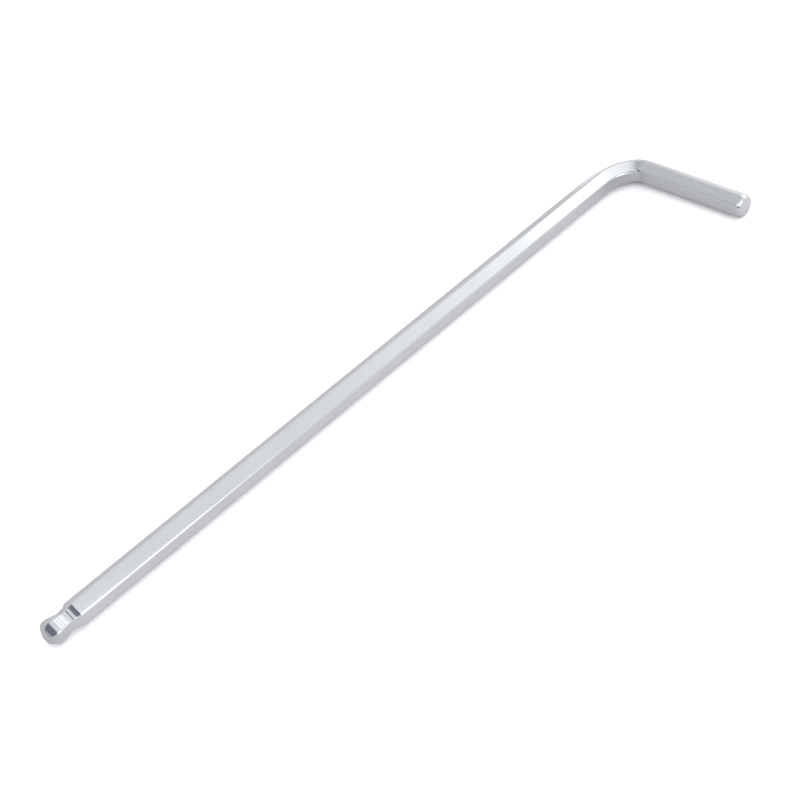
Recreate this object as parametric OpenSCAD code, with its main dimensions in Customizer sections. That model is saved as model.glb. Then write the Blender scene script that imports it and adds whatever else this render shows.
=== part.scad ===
// Ball end hex key, bent from one length of hexagonal steel bar.
// It lies on its side: a corner of the bar points up, another points down, and the flats
// face the inside and the outside of the bend. The key rests on the lower corner of both arms.
// The origin is on the surface below the middle of the outline. X runs along the long arm,
// with the ball at -X. The short arm points to -Y, and Z is up. All lengths are in millimetres.

/* [Bar] */
// Size of the key, across two opposite flats
across_flats = 4; // [3.8:0.1:4.6]
// How much the rounding takes off each corner of the drawn bar
corner_trim = 0.085; // [0.04:0.005:0.12]

/* [Arms] */
// Long arm, from the outside of the short arm to the tip of the ball
long_arm = 144; // [100:1:180]
// Short arm, from the outside of the long arm to its end face
short_arm = 28; // [22:1:40]

/* [Bend] */
// Inside radius of the half of the bend that leaves the long arm
bend_open_r = 7.2; // [5:0.1:10]
// Inside radius of the half of the bend that runs into the short arm
bend_tight_r = 1.3; // [0.8:0.1:4]

/* [Short arm end] */
// How much lower than the flats the rim of the end face is
end_face_drop = 0.2; // [0.05:0.05:0.6]
// Slope of the turned chamfer to the axis, in degrees
end_chamfer_angle = 28; // [20:1:60]

/* [Ball end] */
// How much narrower the ball is than the bar, across the flats
ball_clearance = 0.16; // [0.05:0.01:0.3]
// Distance from the shoulder to the centre of the ball
ball_pos = 3.75; // [3.7:0.05:5]
// Distance from the centre of the ball to the flat tip
ball_nose = 1.75; // [1.4:0.05:1.8]
// How far the ball's round would stand proud of the flats around its middle
ball_crown = 0.11; // [0.02:0.01:0.14]
// How far the turned lands on the ball's corners stand off its flats
ball_land = 0.24; // [0.2:0.01:0.26]

/* [Neck] */
// Depth of the neck below the flats of the bar
neck_depth = 0.46; // [0.35:0.01:0.6]
// Height of the small step that the grinding leaves on each flat of the neck
neck_step = 0.08; // [0.04:0.01:0.15]
// Distance from the shoulder to that step
neck_step_pos = 1.15; // [0.9:0.05:1.4]
// Distance from the shoulder to where the neck starts to widen
neck_end = 1.95; // [1.8:0.05:2.3]
// Length over which the neck widens into the ball
neck_taper = 1.75; // [1:0.05:1.9]
// Slope of the shoulder and of the step to the axis, in degrees
shoulder_angle = 33; // [30:1:60]

/* [Hidden] */
$fn = 96;

// Corners of a hexagon lie further out than its flats by this factor
corner_ratio = 1 / cos(30);
flat_r = across_flats / 2;
sharp_r = flat_r * corner_ratio;
// The rounded corners lie on this radius, so it is also the height of the axis
corner_r = sharp_r - corner_trim;
// Wider than any section of the bar, for the shapes that cut it
clear_w = 2 * across_flats;
// A long move is rounded to this first
coarse_step = 0.1;

// The two axes would cross here
cross_x = long_arm / 2 - flat_r;
cross_y = short_arm / 2 - flat_r;

// Each half of the bend turns this far. Its axis radius, and its reach along the arm, follow
half_turn = 45;
open_r = bend_open_r + flat_r;
tight_r = bend_tight_r + flat_r;
centre_step = (open_r - tight_r) * sin(half_turn);
open_reach = tight_r + centre_step;
tight_reach = open_r - centre_step;
long_straight = long_arm - flat_r - open_reach;
short_straight = short_arm - flat_r - tight_reach;

// Half widths of the ball end across its flats, and lengths from the shoulder
ball_r = flat_r - ball_clearance / 2;
neck_r = flat_r - neck_depth;
upper_neck_r = neck_r + neck_step;
shoulder_start = -(clear_w - flat_r) / tan(shoulder_angle);
shoulder_end = (flat_r - upper_neck_r) / tan(shoulder_angle);
step_end = neck_step_pos + neck_step / tan(shoulder_angle);
ball_end_len = ball_pos + ball_nose;
shoulder_pos = long_straight - ball_end_len;

// Section of the bar, with flats at left and right and rounded corners at top and bottom
module bar_section() {
    side_y = sharp_r / 2;
    intersection() {
        polygon([
            [flat_r, -side_y], [flat_r, side_y], [0, sharp_r],
            [-flat_r, side_y], [-flat_r, -side_y], [0, -sharp_r]
        ]);
        circle(r = corner_r);
    }
}

// Straight bar along +Z
module bar(len) {
    linear_extrude(height = len) bar_section();
}

// Half of the bend around Z, starting on +X
module half_bend(r) {
    rotate_extrude(angle = half_turn) translate([r, 0]) bar_section();
}

// Outline of the long arm on one pair of flats, grown sideways by land.
// Y runs along the axis from the shoulder to the tip, and before the shoulder it clears the bar
module arm_outline(land = 0) {
    right = [
        [clear_w, -long_straight],
        [clear_w, shoulder_start],
        [upper_neck_r, shoulder_end],
        [upper_neck_r, neck_step_pos],
        [neck_r, step_end],
        [neck_r, neck_end],
        [ball_r, neck_end + neck_taper],
        [ball_r, ball_end_len]
    ];
    last = len(right) - 1;
    right_side = [for (p = right) [p.x + land, p.y]];
    left_side = [for (i = [last : -1 : 0]) [-right_side[i].x, right_side[i].y]];
    intersection() {
        polygon(concat(right_side, left_side));
        union() {
            translate([-clear_w - land, -long_straight]) square([2 * (clear_w + land), long_straight + ball_pos]);
            translate([0, ball_pos]) circle(r = ball_r + ball_crown + land);
        }
    }
}

// What is common to the three shapes that follow the outline given, along +Z
module three_ways() {
    intersection_for(a = [0, 60, 120]) {
        rotate(a) rotate([90, 0, 0]) linear_extrude(height = clear_w, center = true) children();
    }
}

// Long arm along +Z. The grinding follows one outline on all three pairs of flats, and the
// turning leaves narrow lands on the corners of the ball
module long_bar() {
    intersection() {
        bar(long_straight);
        translate([0, 0, shoulder_pos]) intersection() {
            three_ways() arm_outline();
            rotate_extrude() intersection() {
                arm_outline(ball_land);
                translate([0, -long_straight]) square([2 * clear_w, 2 * long_straight]);
            }
        }
    }
}

// Short arm along +Z, with its end chamfered on the lathe
module short_bar() {
    rim_r = flat_r - end_face_drop;
    run = (clear_w - rim_r) / tan(end_chamfer_angle);
    intersection() {
        bar(short_straight);
        rotate_extrude() polygon([
            [0, -clear_w],
            [clear_w, -clear_w],
            [clear_w, short_straight - run],
            [rim_r, short_straight],
            [0, short_straight]
        ]);
    }
}

// Moves in two steps, a rounded one and what is left over, so that no decimals are lost
module fine_translate(v) {
    coarse = [for (x = v) round(x / coarse_step) * coarse_step];
    translate(coarse) translate(v - coarse) children();
}

// The long arm ends and the bend begins on the plane X = 0 of the inner frame
module hex_key() {
    color("silver") translate([cross_x - open_reach, cross_y, corner_r]) {
        rotate([90, 0, 90]) mirror([0, 0, 1]) long_bar();
        translate([0, -open_r]) {
            mirror([1, -1, 0]) half_bend(open_r);
            fine_translate([centre_step, centre_step, 0]) {
                half_bend(tight_r);
                translate([tight_r, 0]) rotate([90, 0, 0]) short_bar();
            }
        }
    }
}

hex_key();
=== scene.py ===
import math

import bpy
from mathutils import Matrix, Vector


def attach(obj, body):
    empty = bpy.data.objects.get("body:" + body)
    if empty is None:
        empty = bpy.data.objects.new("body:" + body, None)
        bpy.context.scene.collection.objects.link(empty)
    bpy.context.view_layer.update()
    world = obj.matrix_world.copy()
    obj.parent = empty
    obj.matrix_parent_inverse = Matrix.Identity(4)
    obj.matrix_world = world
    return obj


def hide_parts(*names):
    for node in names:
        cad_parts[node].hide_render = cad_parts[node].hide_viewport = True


bl_info = {
    "name": "Ball end hex key",
    "version": (1, 0, 0),
    "blender": (4, 5, 0),
    "location": "3D View > Sidebar > Hex Key",
    "description": "Plated hex key with a ball end, on a white board in soft studio light",
    "category": "Object",
}

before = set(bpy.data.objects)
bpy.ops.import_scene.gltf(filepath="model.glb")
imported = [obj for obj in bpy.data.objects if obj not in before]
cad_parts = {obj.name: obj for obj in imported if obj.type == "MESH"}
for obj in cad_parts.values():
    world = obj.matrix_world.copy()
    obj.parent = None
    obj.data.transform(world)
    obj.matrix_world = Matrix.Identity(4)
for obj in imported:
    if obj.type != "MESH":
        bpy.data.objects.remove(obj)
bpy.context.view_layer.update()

MM = 0.001


# Sizes, finish and studio that a user may change


def length(name, text, default_mm):
    return bpy.props.FloatProperty(
        name=name, description=text, default=default_mm * MM, min=0.0, unit="LENGTH", precision=5
    )


def angle(name, text, default_degrees):
    return bpy.props.FloatProperty(
        name=name, description=text, default=math.radians(default_degrees), subtype="ANGLE"
    )


def colour(name, text, default):
    return bpy.props.StringProperty(name=name, description=text + ", as an sRGB hex value", default=default)


def share(name, text, default):
    return bpy.props.FloatProperty(
        name=name, description=text, default=default, min=0.0, max=1.0, subtype="FACTOR"
    )


class HexKeySizes(bpy.types.PropertyGroup):
    across_flats: length("Across flats", "Size of the key, across two opposite flats", 4.0)
    corner_trim: length("Corner trim", "How much the rounding takes off each corner of the bar", 0.085)
    long_arm: length("Long arm", "From the outside of the short arm to the tip of the ball", 144.0)
    short_arm: length("Short arm", "From the outside of the long arm to its end face", 28.0)
    bend_open_r: length("Open bend", "Inside radius of the half of the bend next to the long arm", 7.2)
    bend_tight_r: length("Tight bend", "Inside radius of the half of the bend next to the short arm", 1.3)
    end_face_drop: length("End face drop", "How much lower than the flats the rim of the end face is", 0.2)
    end_chamfer_angle: angle("End chamfer", "Slope of the turned chamfer to the axis", 28.0)
    ball_clearance: length("Ball clearance", "How much narrower the ball is than the bar", 0.16)
    ball_pos: length("Ball position", "From the shoulder to the centre of the ball", 3.75)
    ball_nose: length("Ball nose", "From the centre of the ball to the flat tip", 1.75)
    ball_crown: length("Ball crown", "How far the round would stand proud of the flats", 0.11)
    ball_land: length("Ball land", "How far the turned lands stand off the flats", 0.24)
    neck_depth: length("Neck depth", "Depth of the neck below the flats of the bar", 0.46)
    neck_step: length("Neck step", "Height of the step that the grinding leaves", 0.08)
    neck_step_pos: length("Neck step position", "From the shoulder to that step", 1.15)
    neck_end: length("Neck end", "From the shoulder to where the neck starts to widen", 1.95)
    neck_taper: length("Neck taper", "Length over which the neck widens into the ball", 1.75)
    shoulder_angle: angle("Shoulder", "Slope of the shoulder and of the step to the axis", 33.0)
    edge_soft: length("Edge softness", "Depth over which one surface rolls into the next", 0.02)
    ball_soft: length("Ball softness", "Depth over which the flats of the ball run into its round", 0.07)
    shoulder_soft: length("Shoulder fillet", "Depth over which the shoulder runs into the neck", 0.2)


class HexKeyFinish(bpy.types.PropertyGroup):
    plate: colour("Plate", "Colour of the chrome plate", "#CDD0D4")
    plate_worn: colour("Handled plate", "Colour of the plate where it is rubbed", "#D8DADC")
    roughness: share("Roughness", "Roughness of the satin plate", 0.2)
    drawn_lines: length("Drawn lines", "Spacing of the lines that the drawing die leaves", 0.12)
    drawn_length: length("Drawn line length", "How long such a line is", 20.0)
    ground_lines: length("Ground lines", "Spacing of the grinding marks on the ball", 0.3)
    ground_length: length("Ground line length", "How far a grinding mark runs round the ball", 3.0)
    grain: length("Grain", "Size of the grain in the plate", 0.25)
    patches: length("Patches", "Size of a patch that is rubbed by handling", 9.0)


class HexKeyStudio(bpy.types.PropertyGroup):
    board: colour("Board", "Colour of the board that the key lies on", "#F3F2F4")
    board_exposure: bpy.props.FloatProperty(
        name="Board exposure",
        description="How much brighter the camera sees the board",
        default=1.66,
        min=1.0,
    )
    board_reach: length("Board reach", "From the middle of the board to its edges", 3000.0)
    camera_distance: length("Camera distance", "From the lens to the middle of the picture", 315.1)
    camera_height: angle("Camera height", "Angle of the view above the board", 39.86)
    camera_heading: angle("Camera heading", "Direction of the view, from +Y towards +X", 44.16)
    camera_roll: angle("Camera roll", "Turn of the camera about its own line of sight", -8.19)
    lens: bpy.props.FloatProperty(
        name="Lens", description="Focal length of the camera", default=87.66, min=1.0, unit="CAMERA"
    )


def linear(hex_value):
    """sRGB hex value as linear red, green, blue and full alpha."""
    parts = [int(hex_value[i : i + 2], 16) / 255 for i in (1, 3, 5)]
    return tuple(c / 12.92 if c <= 0.04045 else ((c + 0.055) / 1.055) ** 2.4 for c in parts) + (1.0,)


def add(tree, kind, inputs=None, **settings):
    """Adds a node, sets its options, then links or sets each of its inputs."""
    node = tree.nodes.new(kind)
    for name, value in settings.items():
        setattr(node, name, value)
    for name, value in (inputs or {}).items():
        if isinstance(value, bpy.types.NodeSocket):
            tree.links.new(value, node.inputs[name])
        else:
            node.inputs[name].default_value = value
    return node


def new_material(name):
    material = bpy.data.materials.new(name)
    material.use_nodes = True
    material.node_tree.nodes.clear()
    return material


# Form of the key, which follows the CAD model and adds the rolled edges

# A corner of the hexagon is this far from the middle of a flat, in degrees
HALF_SIDE = 30.0
# Corners of a hexagon lie further out than its flats by this factor
CORNER_RATIO = 1 / math.cos(math.radians(HALF_SIDE))
SIDES = 6
# The points of a section crowd where a flat rolls into a corner, so that the roll stays narrow:
# the least and most that this edge is from the middle of the flat, and the points around it
EDGE_LEAST = 6.0
EDGE_MOST = 26.8
EDGE_POINTS = (-2.4, -1.1, 0.0, 1.1, 2.4)
# The last points of a side, as shares of what is left from there to the corner
CORNER_POINTS = (0.25, 0.6, 1.0)

# Rings along each stretch of the key
BALL_END_RINGS = 180
LONG_RINGS = 32
BEND_RINGS = 36
SHORT_RINGS = 8
CHAMFER_RINGS = 40
# Rings on both end faces, as shares of the way out from the middle
FACE_RINGS = (0.0, 0.5, 0.9, 0.98)
# The rim of the ball's tip is broken by this much
TIP_BEVEL = 0.02 * MM
# The fine rings of the ball end go on for this far past the shoulder
PAST_SHOULDER = 0.3 * MM
# The fine rings of the chamfer cover this many times its own length
CHAMFER_REACH = 1.2


def soft_min(a, b, width):
    """The smaller of two values, rounded over where they meet."""
    if width <= 0:
        return min(a, b)
    overlap = max(width - abs(a - b), 0.0)
    return min(a, b) - overlap * overlap / (4 * width)


def soft_max(a, b, width):
    """The larger of two values, rounded where they meet."""
    return -soft_min(-a, -b, width)


def corner_radius(s):
    """Radius of the rounded corners, which is also the height of the axis above the board."""
    return s.across_flats / 2 * CORNER_RATIO - s.corner_trim


def flat_height(s, t):
    """Half width across the flats at a distance t past the shoulder, as the ball end is ground."""
    flat_r = s.across_flats / 2
    slope = math.tan(s.shoulder_angle)
    neck_r = flat_r - s.neck_depth
    step = s.neck_step - (t - s.neck_step_pos) * slope
    neck = soft_max(soft_min(neck_r + s.neck_step, neck_r + step, s.edge_soft), neck_r, s.edge_soft)
    ball_r = flat_r - s.ball_clearance / 2
    widening = neck_r + (t - s.neck_end) * (ball_r - neck_r) / s.neck_taper
    ball = soft_min(soft_max(neck, widening, s.edge_soft), ball_r, s.edge_soft)
    if t > s.ball_pos:
        round_r = ball_r + s.ball_crown
        ball = soft_min(ball, math.sqrt(round_r**2 - (t - s.ball_pos) ** 2), s.ball_soft)
    return soft_min(flat_r, soft_max(flat_r - t * slope, ball, s.shoulder_soft), s.edge_soft)


def land_height(s, t):
    """Radius that the turning leaves on the corners at a distance t past the shoulder."""
    if t <= s.ball_pos:
        return min(corner_radius(s), flat_height(s, t) + s.ball_land)
    ball_r = s.across_flats / 2 - s.ball_clearance / 2
    turned_r = ball_r + s.ball_crown + s.ball_land
    return min(corner_radius(s), ball_r + s.ball_land, math.sqrt(turned_r**2 - (t - s.ball_pos) ** 2))


def section(s, flat, land):
    """Angles and radii once around the bar, for flats and corners at these distances from the axis."""
    edge = math.degrees(math.acos(min(1.0, flat / land)))
    edge = min(max(edge, EDGE_LEAST), EDGE_MOST)
    half = [0.0, edge / 2] + [edge + step for step in EDGE_POINTS]
    last = half[-1]
    half += [last + (HALF_SIDE - last) * part for part in CORNER_POINTS]
    points = []
    for side in range(SIDES):
        for a in [-x for x in reversed(half[1:])] + half[:-1]:
            radius = soft_min(flat / math.cos(math.radians(a)), land, s.edge_soft)
            points.append((math.radians(2 * HALF_SIDE * side + a), radius))
    return points


def stations(s):
    """Rings along the key from the middle of the ball's tip to the middle of the short arm's end face.
    Each has its point on the axis, the direction away from the inside of the bend, the distances of
    its flats and corners from the axis, and its share of that full size."""
    flat_r = s.across_flats / 2
    corner_r = corner_radius(s)
    open_r = s.bend_open_r + flat_r
    tight_r = s.bend_tight_r + flat_r
    half_turn = 45
    centre_step = (open_r - tight_r) * math.sin(math.radians(half_turn))
    # The two axes would cross here
    cross_x = s.long_arm / 2 - flat_r
    cross_y = s.short_arm / 2 - flat_r
    bend_x = cross_x - tight_r - centre_step
    bend_y = cross_y - open_r
    back = (0.0, 1.0)
    right = (1.0, 0.0)
    rings = []

    def ring(x, y, outward, flat=flat_r, corner=corner_r, scale=1.0):
        rings.append((Vector((x, y, corner_r)), Vector(outward + (0.0,)), flat, corner, scale))

    # Ball end, neck and shoulder
    tip_x = -s.long_arm / 2
    end_t = s.ball_pos + s.ball_nose
    shoulder_x = tip_x + end_t
    for scale in FACE_RINGS:
        ring(tip_x, cross_y, back, flat_height(s, end_t), land_height(s, end_t), scale)
    for i in range(BALL_END_RINGS + 1):
        t = end_t - max(TIP_BEVEL, (end_t + PAST_SHOULDER) * i / BALL_END_RINGS)
        ring(shoulder_x - t, cross_y, back, flat_height(s, t), land_height(s, t))

    # Long arm
    start_x = shoulder_x + PAST_SHOULDER
    for i in range(1, LONG_RINGS + 1):
        ring(start_x + (bend_x - start_x) * i / LONG_RINGS, cross_y, back)

    # Both halves of the bend
    for radius, first, shift in ((open_r, 2 * half_turn, 0.0), (tight_r, half_turn, centre_step)):
        for i in range(1, BEND_RINGS + 1):
            a = math.radians(first - half_turn * i / BEND_RINGS)
            outward = (math.cos(a), math.sin(a))
            ring(bend_x + shift + radius * outward[0], bend_y + shift + radius * outward[1], outward)

    # Short arm, its chamfer and its end face
    start_y = bend_y + centre_step
    end_y = -s.short_arm / 2
    rim_r = flat_r - s.end_face_drop
    slope = math.tan(s.end_chamfer_angle)
    chamfer = (corner_r - rim_r) / slope * CHAMFER_REACH
    for i in range(1, SHORT_RINGS + 1):
        ring(cross_x, start_y + (end_y + chamfer - start_y) * i / SHORT_RINGS, right)
    for i in range(1, CHAMFER_RINGS + 1):
        left = chamfer * (1 - i / CHAMFER_RINGS)
        turned = soft_min(corner_r, rim_r + left * slope, s.edge_soft)
        ring(cross_x, end_y + left, right, corner=turned)
    for scale in reversed(FACE_RINGS):
        ring(cross_x, end_y, right, corner=rim_r, scale=scale)
    return rings


def key_mesh(s):
    """One closed skin over the stations. Its UVs are metres along and around the bar."""
    rings = []
    lengths = []
    previous = None
    for point, outward, flat, corner, scale in stations(s):
        lengths.append(lengths[-1] + (point - previous).length if lengths else 0.0)
        previous = point
        ring = []
        for a, radius in section(s, flat, corner):
            offset = outward * math.cos(a) + Vector((0.0, 0.0, math.sin(a)))
            ring.append(point + offset * radius * scale)
        rings.append(ring)
    around = len(rings[0])
    # The first and the last ring have no size, and are one point each
    vertices = [rings[0][0]]
    for ring in rings[1:-1]:
        vertices.extend(ring)
    vertices.append(rings[-1][0])
    last_vertex = len(vertices) - 1
    # The seam of the texture runs under the bar, along the corner that it rests on
    seam = around * 3 // 4
    turn = 2 * math.pi * s.across_flats / 2 / around
    faces = []
    uvs = []
    for r in range(len(rings) - 1):
        u0 = lengths[r]
        u1 = lengths[r + 1]
        row = 1 + (r - 1) * around
        next_row = row + around
        for j in range(around):
            k = (j + 1) % around
            v0 = ((j - seam) % around) * turn
            v1 = v0 + turn
            if r == 0:
                faces.append((0, next_row + j, next_row + k))
                uvs.append(((u0, v0), (u1, v0), (u1, v1)))
            elif r == len(rings) - 2:
                faces.append((row + j, last_vertex, row + k))
                uvs.append(((u0, v0), (u1, v0), (u0, v1)))
            else:
                faces.append((row + j, next_row + j, next_row + k, row + k))
                uvs.append(((u0, v0), (u1, v0), (u1, v1), (u0, v1)))
    mesh = bpy.data.meshes.new("plated_key")
    mesh.from_pydata(vertices, [], faces)
    layer = mesh.uv_layers.new(name="bar")
    for face, corners in zip(mesh.polygons, uvs):
        face.use_smooth = True
        for loop, uv in zip(face.loop_indices, corners):
            layer.data[loop].uv = uv
    mesh.validate()
    mesh.update()
    return mesh


def satin_chrome_plate(finish, sizes):
    """Chrome plate over drawn and ground steel. The thin plate keeps the lines of the drawing die
    along the bar and the grinding marks around the ball, so the gloss is satin and breaks up along them."""
    # Strength and height of the bumps
    line_depth = 0.05
    mark_depth = 0.8
    score_height = 0.08 * MM
    grain_depth = 0.05
    grain_height = 0.02 * MM
    # Most of the noise lies between these two values. The low ones are this much smoother than the
    # rest of the plate, and the high ones this much rougher
    noise_low = 0.3
    noise_high = 0.7
    smoother = 0.04
    rougher = 0.05
    # The marks fade out on the long arm over this length
    mark_fade = 1.5 * MM

    material = new_material("satin_chrome_plate")
    tree = material.node_tree
    uv = add(tree, "ShaderNodeUVMap", uv_map="bar").outputs["UV"]
    along = add(tree, "ShaderNodeSeparateXYZ", {"Vector": uv}).outputs["X"]

    # Drawn lines: as far apart as the scores of the die
    line_scale = (1 / finish.drawn_length, 1 / finish.drawn_lines, 1.0)
    line_uv = add(tree, "ShaderNodeMapping", {"Vector": uv, "Scale": line_scale}).outputs["Vector"]
    line_noise = {"Vector": line_uv, "Scale": 1.0, "Detail": 3.0, "Roughness": 0.6}
    lines = add(tree, "ShaderNodeTexNoise", line_noise).outputs["Fac"]

    # Grinding marks: on the ball end only. Real ones are about 0.05 mm apart, and are drawn coarser
    # so that they show
    mark_scale = (1 / finish.ground_lines, 1 / finish.ground_length, 1.0)
    mark_uv = add(tree, "ShaderNodeMapping", {"Vector": uv, "Scale": mark_scale}).outputs["Vector"]
    mark_noise = {"Vector": mark_uv, "Scale": 1.0, "Detail": 2.0, "Roughness": 0.5}
    marks = add(tree, "ShaderNodeTexNoise", mark_noise).outputs["Fac"]
    ball_len = sizes.ball_pos + sizes.ball_nose
    ball_range = {
        "Value": along,
        "From Min": ball_len,
        "From Max": ball_len + mark_fade,
        "To Min": 1.0,
        "To Max": 0.0,
    }
    ground = add(tree, "ShaderNodeMapRange", ball_range).outputs["Result"]

    # Plate grain: real plate is finer than 0.05 mm, and is drawn coarser so that it shows at all
    place = add(tree, "ShaderNodeTexCoord").outputs["Object"]
    grain_noise = {"Vector": place, "Scale": 1 / finish.grain, "Detail": 2.0}
    grain = add(tree, "ShaderNodeTexNoise", grain_noise).outputs["Fac"]
    # Handling leaves soft patches
    patch_noise = {"Vector": place, "Scale": 1 / finish.patches, "Detail": 2.0}
    patches = add(tree, "ShaderNodeTexNoise", patch_noise).outputs["Fac"]

    # The marks take the place of the lines on the ball end
    shares = {"Factor": ground, "A": lines, "B": marks}
    pattern = add(tree, "ShaderNodeMix", shares, data_type="FLOAT").outputs["Result"]
    tones = {"Factor": patches, "A": linear(finish.plate), "B": linear(finish.plate_worn)}
    plate = add(tree, "ShaderNodeMix", tones, data_type="RGBA").outputs["Result"]
    rough_range = {
        "Value": pattern,
        "From Min": noise_low,
        "From Max": noise_high,
        "To Min": finish.roughness - smoother,
        "To Max": finish.roughness + rougher,
    }
    rough = add(tree, "ShaderNodeMapRange", rough_range).outputs["Result"]
    grain_bump = {"Height": grain, "Strength": grain_depth, "Distance": grain_height}
    fine = add(tree, "ShaderNodeBump", grain_bump).outputs["Normal"]
    depth_range = {"Value": ground, "To Min": line_depth, "To Max": mark_depth}
    depth = add(tree, "ShaderNodeMapRange", depth_range).outputs["Result"]
    score_bump = {"Height": pattern, "Strength": depth, "Distance": score_height, "Normal": fine}
    scored = add(tree, "ShaderNodeBump", score_bump).outputs["Normal"]
    chrome = {"Base Color": plate, "Metallic": 1.0, "Roughness": rough, "Normal": scored}
    shader = add(tree, "ShaderNodeBsdfPrincipled", chrome)
    add(tree, "ShaderNodeOutputMaterial", {"Surface": shader.outputs["BSDF"]})
    return material


class HEXKEY_OT_key(bpy.types.Operator):
    """Makes the key as one fine skin in the place of the plain CAD model"""

    bl_idname = "hexkey.key"
    bl_label = "Key"

    def execute(self, context):
        scene = context.scene
        mesh = key_mesh(scene.hex_key_sizes)
        key = bpy.data.objects.new("plated_key", mesh)
        scene.collection.objects.link(key)
        mesh.materials.append(satin_chrome_plate(scene.hex_key_finish, scene.hex_key_sizes))
        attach(key, "root")
        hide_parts("hex_key")
        return {"FINISHED"}


# Stage: a white board, a tent of light, three panels and the camera

# How bright the board is painted for the metal: painted shade past the ball and behind the key, and in
# the corner between the arms, and a painted pool of light behind the outside of the bend
PAINTED_FAR_SHADE = 0.76
PAINTED_CORNER_SHADE = 0.87
PAINTED_BEND_LIGHT = 1.45


def seen_directly(tree):
    """1 where the camera sees something directly or through glass, and 0 for every other ray."""
    rays = add(tree, "ShaderNodeLightPath")
    both = {0: rays.outputs["Is Camera Ray"], 1: rays.outputs["Is Transmission Ray"]}
    return add(tree, "ShaderNodeMath", both, operation="MAXIMUM").outputs["Value"]


def painted_spot(tree, place, shade, middle, outer, inner, level):
    """The board's painted shade with one more soft, round spot painted on it at another level, between
    these two radii.
    """
    ends = {0: place, 1: middle}
    apart = add(tree, "ShaderNodeVectorMath", ends, operation="DISTANCE").outputs["Value"]
    spot_range = {"Value": apart, "From Min": outer, "From Max": inner, "To Min": shade, "To Max": level}
    return add(tree, "ShaderNodeMapRange", spot_range).outputs["Result"]


def matt_white_board(studio, sizes):
    """Matt white card, a little overexposed for the camera, so that it is clean white and shows only
    the light that the key keeps off it. The metal sees the same card at its own brightness, with painted
    shade and a painted pool of light on it."""
    end_x = sizes.long_arm / 2
    back_y = sizes.short_arm / 2
    material = new_material("matt_white_board")
    tree = material.node_tree
    place = add(tree, "ShaderNodeTexCoord").outputs["Object"]
    axes = add(tree, "ShaderNodeSeparateXYZ", {"Vector": place})

    # Painted shade: past the ball and behind the key the board is painted darker for the metal, and not for
    # the camera. It gets darker from these two lines on
    shade_start_x = 5 * MM - end_x
    shade_start_y = back_y + 1 * MM
    shade_fade = 8 * MM
    past_x = {0: shade_start_x, 1: axes.outputs["X"]}
    past_ball = add(tree, "ShaderNodeMath", past_x, operation="SUBTRACT").outputs["Value"]
    past_y = {0: axes.outputs["Y"], 1: shade_start_y}
    behind = add(tree, "ShaderNodeMath", past_y, operation="SUBTRACT").outputs["Value"]
    further = {0: past_ball, 1: behind}
    past = add(tree, "ShaderNodeMath", further, operation="MAXIMUM").outputs["Value"]
    shade_range = {"Value": past, "From Max": shade_fade, "To Min": 1.0, "To Max": PAINTED_FAR_SHADE}
    shade = add(tree, "ShaderNodeMapRange", shade_range).outputs["Result"]

    # Painted shade on the board in the corner between the arms, and a painted pool of light behind the bend
    between_arms = (end_x - 8 * MM, -4 * MM, 0.0)
    shade = painted_spot(tree, place, shade, between_arms, outer=15 * MM, inner=9 * MM, level=PAINTED_CORNER_SHADE)
    behind_bend = (end_x + 8 * MM, back_y + 10.5 * MM, 0.0)
    shade = painted_spot(tree, place, shade, behind_bend, outer=11.5 * MM, inner=7 * MM, level=PAINTED_BEND_LIGHT)

    direct = seen_directly(tree)
    seen_range = {"Value": direct, "To Min": shade, "To Max": studio.board_exposure}
    seen = add(tree, "ShaderNodeMapRange", seen_range).outputs["Result"]
    white = {0: linear(studio.board)[:3], "Scale": seen}
    tint = add(tree, "ShaderNodeVectorMath", white, operation="SCALE").outputs["Vector"]
    card = add(tree, "ShaderNodeBsdfDiffuse", {"Color": tint})
    add(tree, "ShaderNodeOutputMaterial", {"Surface": card.outputs["BSDF"]})
    return material


def lobe(direction, outer, inner, light):
    """A soft round patch of the tent: its direction, the cosines of its edges in degrees, its light."""
    return direction, math.cos(math.radians(outer)), math.cos(math.radians(inner)), light


# Linear light, where 1 is white. First the plain cloth, then the patches over it: overhead cloth, a
# bright window and a gap of light behind the key. The opening for the camera is dark, and only the
# metal shows it
CLOTH = (0.75, 0.75, 0.75)
TENT = (
    lobe((0.508, -0.609, 0.609), 65, 20, (0.965, 0.965, 0.965)),
    lobe((0.86, -0.2, 0.47), 27, 20.3, (1.5, 1.5, 1.5)),
    lobe((0.45, 0.595, 0.665), 15, 9, (1.08, 1.08, 1.08)),
)
OPENING = lobe((-0.7, -0.3, 0.65), 52, 28, (0.19, 0.205, 0.25))
WHITE = (1.0, 1.0, 1.0)
# The board also gets light that is scattered around the room, which softens its shadows
ROOM_LIGHT = (0.19, 0.19, 0.19)


def cover(tree, direction, light, patch):
    """The light of the tent with one more patch over it."""
    axis, outer, inner, level = patch
    both = {0: direction, 1: axis}
    near = add(tree, "ShaderNodeVectorMath", both, operation="DOT_PRODUCT").outputs["Value"]
    edge = {"Value": near, "From Min": outer, "From Max": inner}
    inside = add(tree, "ShaderNodeMapRange", edge, interpolation_type="SMOOTHSTEP").outputs["Result"]
    shares = {"Factor": inside, "A": light, "B": level}
    return add(tree, "ShaderNodeMix", shares, data_type="VECTOR").outputs["Result"]


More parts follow.
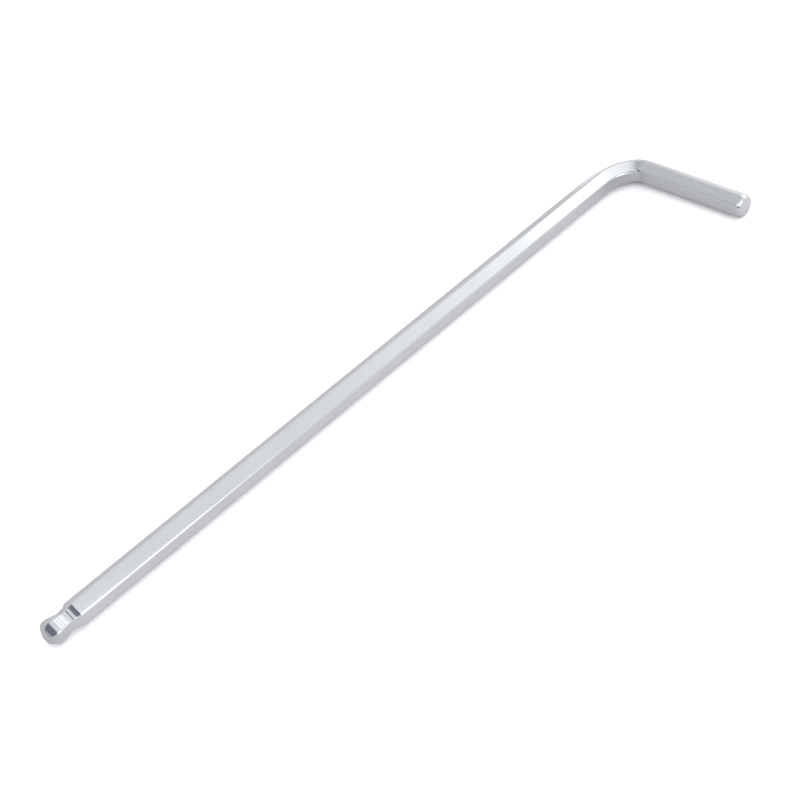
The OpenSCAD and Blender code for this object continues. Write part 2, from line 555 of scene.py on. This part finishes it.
def light_tent(world):
    """Soft white tent all round. The metal shows its cloth, window and opening, and where the camera
    looks at it directly, or through glass, it is plain white."""
    world.use_nodes = True
    tree = world.node_tree
    tree.nodes.clear()
    direction = add(tree, "ShaderNodeTexCoord").outputs["Generated"]
    light = CLOTH
    for patch in TENT:
        light = cover(tree, direction, light, patch)
    both = {0: light, 1: ROOM_LIGHT}
    room = add(tree, "ShaderNodeVectorMath", both, operation="ADD").outputs["Vector"]
    shown = cover(tree, direction, light, OPENING)
    glossy = add(tree, "ShaderNodeLightPath").outputs["Is Glossy Ray"]
    by_metal = {"Factor": glossy, "A": room, "B": shown}
    indirect = add(tree, "ShaderNodeMix", by_metal, data_type="VECTOR").outputs["Result"]
    by_camera = {"Factor": seen_directly(tree), "A": indirect, "B": WHITE}
    seen = add(tree, "ShaderNodeMix", by_camera, data_type="VECTOR").outputs["Result"]
    walls = add(tree, "ShaderNodeBackground", {"Color": seen})
    add(tree, "ShaderNodeOutputWorld", {"Surface": walls.outputs["Background"]})


def panel(scene, name, place, aim, size, level, turn=0.0):
    """Soft panel that shows at this level in the metal, turned about its own normal by some degrees."""
    light = bpy.data.lights.new(name, "AREA")
    light.shape = "RECTANGLE"
    light.size, light.size_y = size
    light.energy = level * math.pi * size[0] * size[1]
    lamp = bpy.data.objects.new(name, light)
    scene.collection.objects.link(lamp)
    lamp.location = place
    facing = (Vector(aim) - Vector(place)).to_track_quat("-Z", "Y").to_matrix()
    lamp.rotation_euler = (facing @ Matrix.Rotation(math.radians(turn), 3, "Z")).to_euler()
    lamp.visible_camera = False
    lamp.visible_diffuse = False


def hang_panels(scene, sizes):
    """The three panels, placed from the ends of the key."""
    end_x = sizes.long_arm / 2
    front_y = -sizes.short_arm / 2
    flat_r = sizes.across_flats / 2
    # In front of the key, for the bright line along the edge of the long arm
    panel(
        scene,
        "front_panel",
        place=(-15 * MM, -380 * MM, 80 * MM),
        aim=(-15 * MM, 0.0, 80 * MM),
        size=(330 * MM, 140 * MM),
        level=1.5,
    )
    # Over the bend and facing down, so close that little but the bend shows it
    panel(
        scene,
        "bend_card",
        place=(end_x + 28.5 * MM, 0.0, 40 * MM),
        aim=(end_x + 28.5 * MM, 1 * MM, 0.0),
        size=(60 * MM, 50 * MM),
        level=0.4,
    )
    # Long and narrow, for the white band on the chamfer of the short arm
    panel(
        scene,
        "tip_card",
        place=(-67.3 * MM, -132 * MM, 175.3 * MM),
        aim=(end_x - flat_r, front_y, flat_r),
        size=(300 * MM, 80 * MM),
        level=1.5,
        turn=56,
    )


def lay_board(scene, studio, sizes):
    """The board under the key, far wider than the picture."""
    reach = studio.board_reach
    corners = [(-reach, -reach, 0), (reach, -reach, 0), (reach, reach, 0), (-reach, reach, 0)]
    mesh = bpy.data.meshes.new("board")
    mesh.from_pydata(corners, [], [(0, 1, 2, 3)])
    mesh.materials.append(matt_white_board(studio, sizes))
    board = bpy.data.objects.new("board", mesh)
    scene.collection.objects.link(board)


# The middle of the picture is on the board, a little behind the middle of the key
PICTURE_MIDDLE = Vector((-1.7 * MM, 5.15 * MM, 0.0))


def place_camera(scene, studio):
    """The camera of the photograph, aimed at the middle of the picture and rolled a little."""
    heading = studio.camera_heading
    height = studio.camera_height
    roll = studio.camera_roll
    level = math.cos(height)
    forward = Vector((math.sin(heading) * level, math.cos(heading) * level, -math.sin(height)))
    right = Vector((math.cos(heading), -math.sin(heading), 0.0))
    up = right.cross(forward)
    turned_right = right * math.cos(roll) + up * math.sin(roll)
    turned_up = up * math.cos(roll) - right * math.sin(roll)
    rotation = Matrix((turned_right, turned_up, -forward)).transposed().to_4x4()
    camera = bpy.data.objects.new("camera", bpy.data.cameras.new("camera"))
    camera.data.lens = studio.lens
    camera.data.sensor_width = 36.0
    camera.data.clip_start = 10 * MM
    scene.collection.objects.link(camera)
    camera.matrix_world = Matrix.Translation(PICTURE_MIDDLE - forward * studio.camera_distance) @ rotation
    scene.camera = camera


class HEXKEY_OT_stage(bpy.types.Operator):
    """Makes the white board, the light and the camera"""

    bl_idname = "hexkey.stage"
    bl_label = "Stage"

    def execute(self, context):
        scene = context.scene
        lay_board(scene, scene.hex_key_studio, scene.hex_key_sizes)
        scene.world = bpy.data.worlds.new("light_tent")
        light_tent(scene.world)
        hang_panels(scene, scene.hex_key_sizes)
        place_camera(scene, scene.hex_key_studio)
        scene.view_settings.view_transform = "Standard"
        return {"FINISHED"}


class HEXKEY_PT_panel(bpy.types.Panel):
    """Sizes, finish and studio of the hex key"""

    bl_idname = "HEXKEY_PT_panel"
    bl_label = "Hex Key"
    bl_space_type = "VIEW_3D"
    bl_region_type = "UI"
    bl_category = "Hex Key"

    def draw(self, context):
        scene = context.scene
        for group, operator in (
            (scene.hex_key_sizes, None),
            (scene.hex_key_finish, "hexkey.key"),
            (scene.hex_key_studio, "hexkey.stage"),
        ):
            box = self.layout.box()
            for name in group.__annotations__:
                box.prop(group, name)
            if operator:
                box.operator(operator)


GROUPS = (
    (HexKeySizes, "hex_key_sizes"),
    (HexKeyFinish, "hex_key_finish"),
    (HexKeyStudio, "hex_key_studio"),
)
PARTS = (HEXKEY_OT_key, HEXKEY_OT_stage, HEXKEY_PT_panel)


def register():
    for group, name in GROUPS:
        bpy.utils.register_class(group)
        setattr(bpy.types.Scene, name, bpy.props.PointerProperty(type=group))
    for part in PARTS:
        bpy.utils.register_class(part)


def unregister():
    for part in reversed(PARTS):
        bpy.utils.unregister_class(part)
    for group, name in reversed(GROUPS):
        delattr(bpy.types.Scene, name)
        bpy.utils.unregister_class(group)


def main():
    register()
    bpy.ops.hexkey.key()
    bpy.ops.hexkey.stage()


if __name__ == "__main__":
    main()
